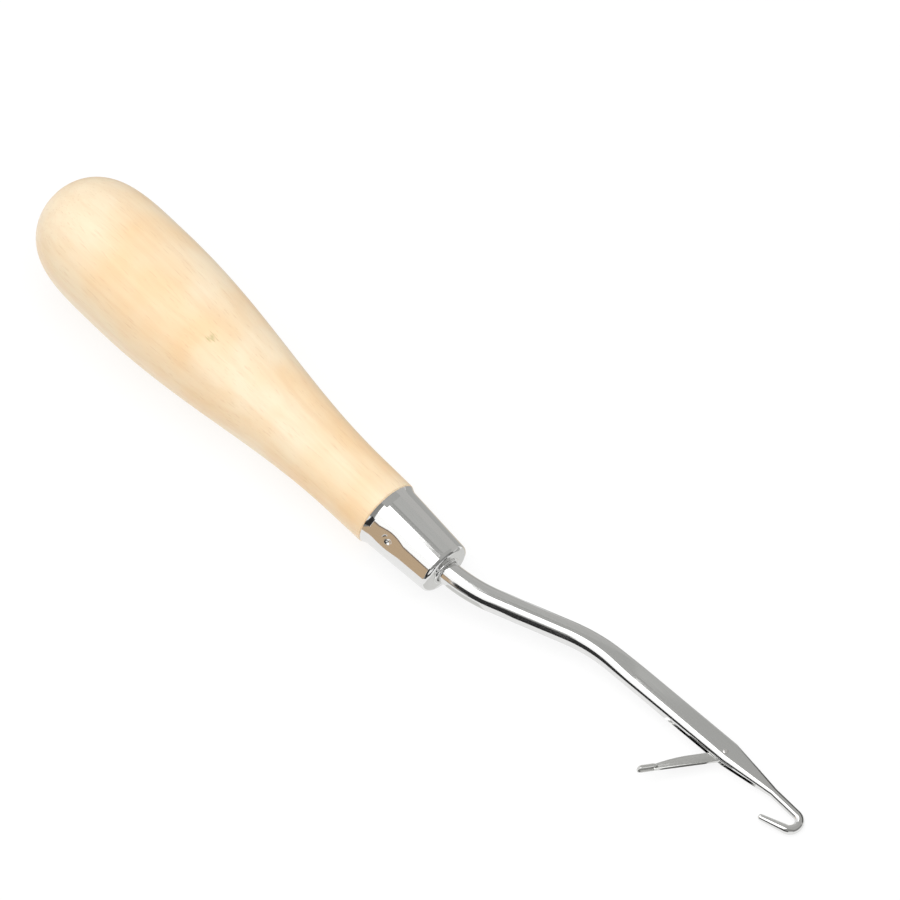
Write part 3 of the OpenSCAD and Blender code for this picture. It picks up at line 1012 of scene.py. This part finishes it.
def card(name, low, high, colour, strength=1.0):
    """A flat card that glows, between two corners: along the tool, across it, and up."""
    low, high = Vector(low), Vector(high)
    size = high - low
    thin = min(range(3), key=lambda axis: size[axis])
    mesh = bmesh.new()
    bmesh.ops.create_grid(mesh, x_segments=1, y_segments=1, size=0.5)
    if thin < 2:
        upright = Matrix.Rotation(math.pi / 2, 3, "YX"[thin])
        bmesh.ops.rotate(mesh, verts=mesh.verts, matrix=upright)
    bmesh.ops.scale(mesh, vec=size, verts=mesh.verts)
    middle = (low + high) / 2
    middle.x += tool_start.x
    bmesh.ops.translate(mesh, vec=middle, verts=mesh.verts)
    item = plain_object(mesh, name)
    finish, tree, output = new_finish(name + "_paint")
    glow = add(tree, "ShaderNodeEmission", {"Color": linear(colour), "Strength": strength})
    tree.links.new(glow.outputs["Emission"], output.inputs["Surface"])
    item.data.materials.append(finish)
    item.visible_camera = False
    item.visible_diffuse = False
    item.visible_shadow = False


def lay(height, cards):
    """Lays cards flat at one height, each between two corners along and across the tool."""
    for name, low, high, colour in cards:
        card(name, (*low, height), (*high, height), colour)
    print("laid", len(cards), "cards at", height, "m")


# %% [markdown]
# The broad grey stripe is the ceiling beyond the soft light's edge. It starts further out over
# the handle than over the shank, so the ferrule keeps a broad white stripe beside it. A darker
# part in front is what the hook looks at.

# %% The ceiling
CEILING = 0.4
GREY = "#B6B6B4"

lay(CEILING, [
    ("grey_ceiling_front", (0.036, -0.056), (1.5, 0.6), GREY),
    ("grey_ceiling_far", (-1.0, 0.10), (0.036, 0.135), "#A8A8A6"),
    ("pale_ceiling_far", (-1.0, 0.135), (0.036, 0.6), "#C2C2C0"),
    ("grey_ceiling_corner", (0.008, 0.030), (0.036, 0.100), "#B0B0AE"),
    ("front_ceiling", (0.22, -1.0), (1.5, -0.056), "#949492"),
])

# %% [markdown]
# The walls close the room. The far one is pale, the front one is grey, and on the near side a
# white one carries the soft light on downwards, so it is as bright as the light. Low down on
# that side the ferrule looks at something tan with a brown edge, and the shank at the unlit
# end of the room, which is the narrow dark stripe.

# %% Walls and boards
NEAR_WALL = -0.14
SOFT_LIGHT = 1.3
TAN = "#CDB394"
DARK = "#343434"

card("far_wall", (-1.0, 0.6, 0.0), (1.5, 0.6, CEILING), "#C6C5C3")
card("front_wall", (0.7, -0.22, 0.0), (0.7, 0.6, 0.42), "#8E8E8D")
card("white_wall", (-2.0, -0.9, CEILING), (2.0, -0.9, 1.15), "#FFFFFF", SOFT_LIGHT)
card("tan_board", (-0.150, NEAR_WALL, 0.0), (0.074, NEAR_WALL, 0.058), TAN)
card("brown_board", (-0.150, NEAR_WALL, 0.058), (0.074, NEAR_WALL, 0.072), "#8F7F70")
card("dark_room", (0.078, NEAR_WALL, 0.0), (0.155, NEAR_WALL, 0.085), DARK)
print("walls and boards stand round the tool")

# %% [markdown]
# Mats on the table carry the same stripes on below the tool, a millimetre above the floor that
# they hide from the metal. On the near side they join the boards. On the far side they darken
# the outermost strip of the ferrule, the wire and the blade, which would otherwise mirror the
# glowing floor and melt into it. One more lies under the latch.

# %% Mats on the table
MAT_HEIGHT = 0.001

lay(MAT_HEIGHT, [
    ("tan_mat", (-0.150, NEAR_WALL), (0.088, -0.018), TAN),
    ("grey_mat", (0.088, NEAR_WALL), (0.098, -0.022), "#8C8C8A"),
    ("dark_mat", (0.098, NEAR_WALL), (0.108, -0.020), DARK),
    ("dark_mat_front", (0.108, NEAR_WALL), (0.155, -0.011), DARK),
    # The mat in front of the ferrule's flat end is painted shade: a pale grey sheet that the flat end
    # mirrors in place of the table in the tool's shadow.
    ("painted_shade_face_mat", (0.0925, -0.010), (0.1005, 0.016), "#E0E0DE"),
    ("far_mat_warm", (-0.020, 0.0058), (0.0925, 0.0130), "#D2C9BB"),
    ("far_mat_ferrule", (-0.150, 0.0130), (0.0925, 0.6), GREY),
    ("far_mat_wire", (0.1005, 0.0100), (0.1180, 0.6), GREY),
    ("far_mat_blade", (0.1180, 0.0125), (0.1500, 0.6), GREY),
    ("latch_mat", (0.1395, -0.0004), (0.1490, 0.0060), "#6C6C6A"),
])

# %% [markdown]
# The hook's thin wire needs dark edges on both sides to stand out from the white table. A mat
# and a low upright card on each side of it give them.

# %% Cards round the hook
HOOK_CARD_HEIGHT = 0.022
DIM = "#5C5C5A"

lay(MAT_HEIGHT, [
    ("far_mat_hook", (0.1500, 0.0125), (0.1850, 0.0450), DIM),
    ("near_mat_hook", (0.1552, -0.0300), (0.1950, 0.0000), DARK),
])
card("far_card_hook", (0.1420, 0.0450, 0.0), (0.1850, 0.0450, HOOK_CARD_HEIGHT), DIM)
card("near_card_hook", (0.1500, -0.0300, 0.0), (0.1950, -0.0300, HOOK_CARD_HEIGHT), DARK)
print("two low cards stand beside the hook")

# %% [markdown]
# ## The light
# One large square softbox hangs over the tool, a little towards the camera, as in a product
# photograph. A square lamp's power in watts is its brightness times pi times its area. The
# white room round it fills the shadows: seen by the camera or in metal it is plain white, and
# as light it gives half of that, so that pale wood renders about in the colour as written.

# %% Softbox and white room
SOFTBOX_SIZE = 1.8
SOFTBOX_PLACE = (0, -0.3, 1.1)
ROOM_LIGHT = 0.5
ROOM_SEEN = 1.0

softbox = bpy.data.lights.new("softbox", "AREA")
softbox.shape = "SQUARE"
softbox.size = SOFTBOX_SIZE
softbox.energy = SOFT_LIGHT * math.pi * SOFTBOX_SIZE ** 2
lamp = bpy.data.objects.new("softbox", softbox)
lamp.location = SOFTBOX_PLACE
bpy.context.collection.objects.link(lamp)

world = bpy.data.worlds.new("white_room")
bpy.context.scene.world = world
world.use_nodes = True
tree = world.node_tree
tree.nodes.clear()
sky = add(tree, "ShaderNodeBackground", {
    "Color": WHITE, "Strength": seen_or_lit(tree, ROOM_LIGHT, ROOM_SEEN),
}).outputs["Background"]
add(tree, "ShaderNodeOutputWorld", {"Surface": sky})
print("lit by a softbox of", round(softbox.energy, 1), "W and a white room")

# %% [markdown]
# ## The colours
# The colours are shown as they are, with no film look.

# %% Show the colours as they are
bpy.context.scene.view_settings.view_transform = "Standard"
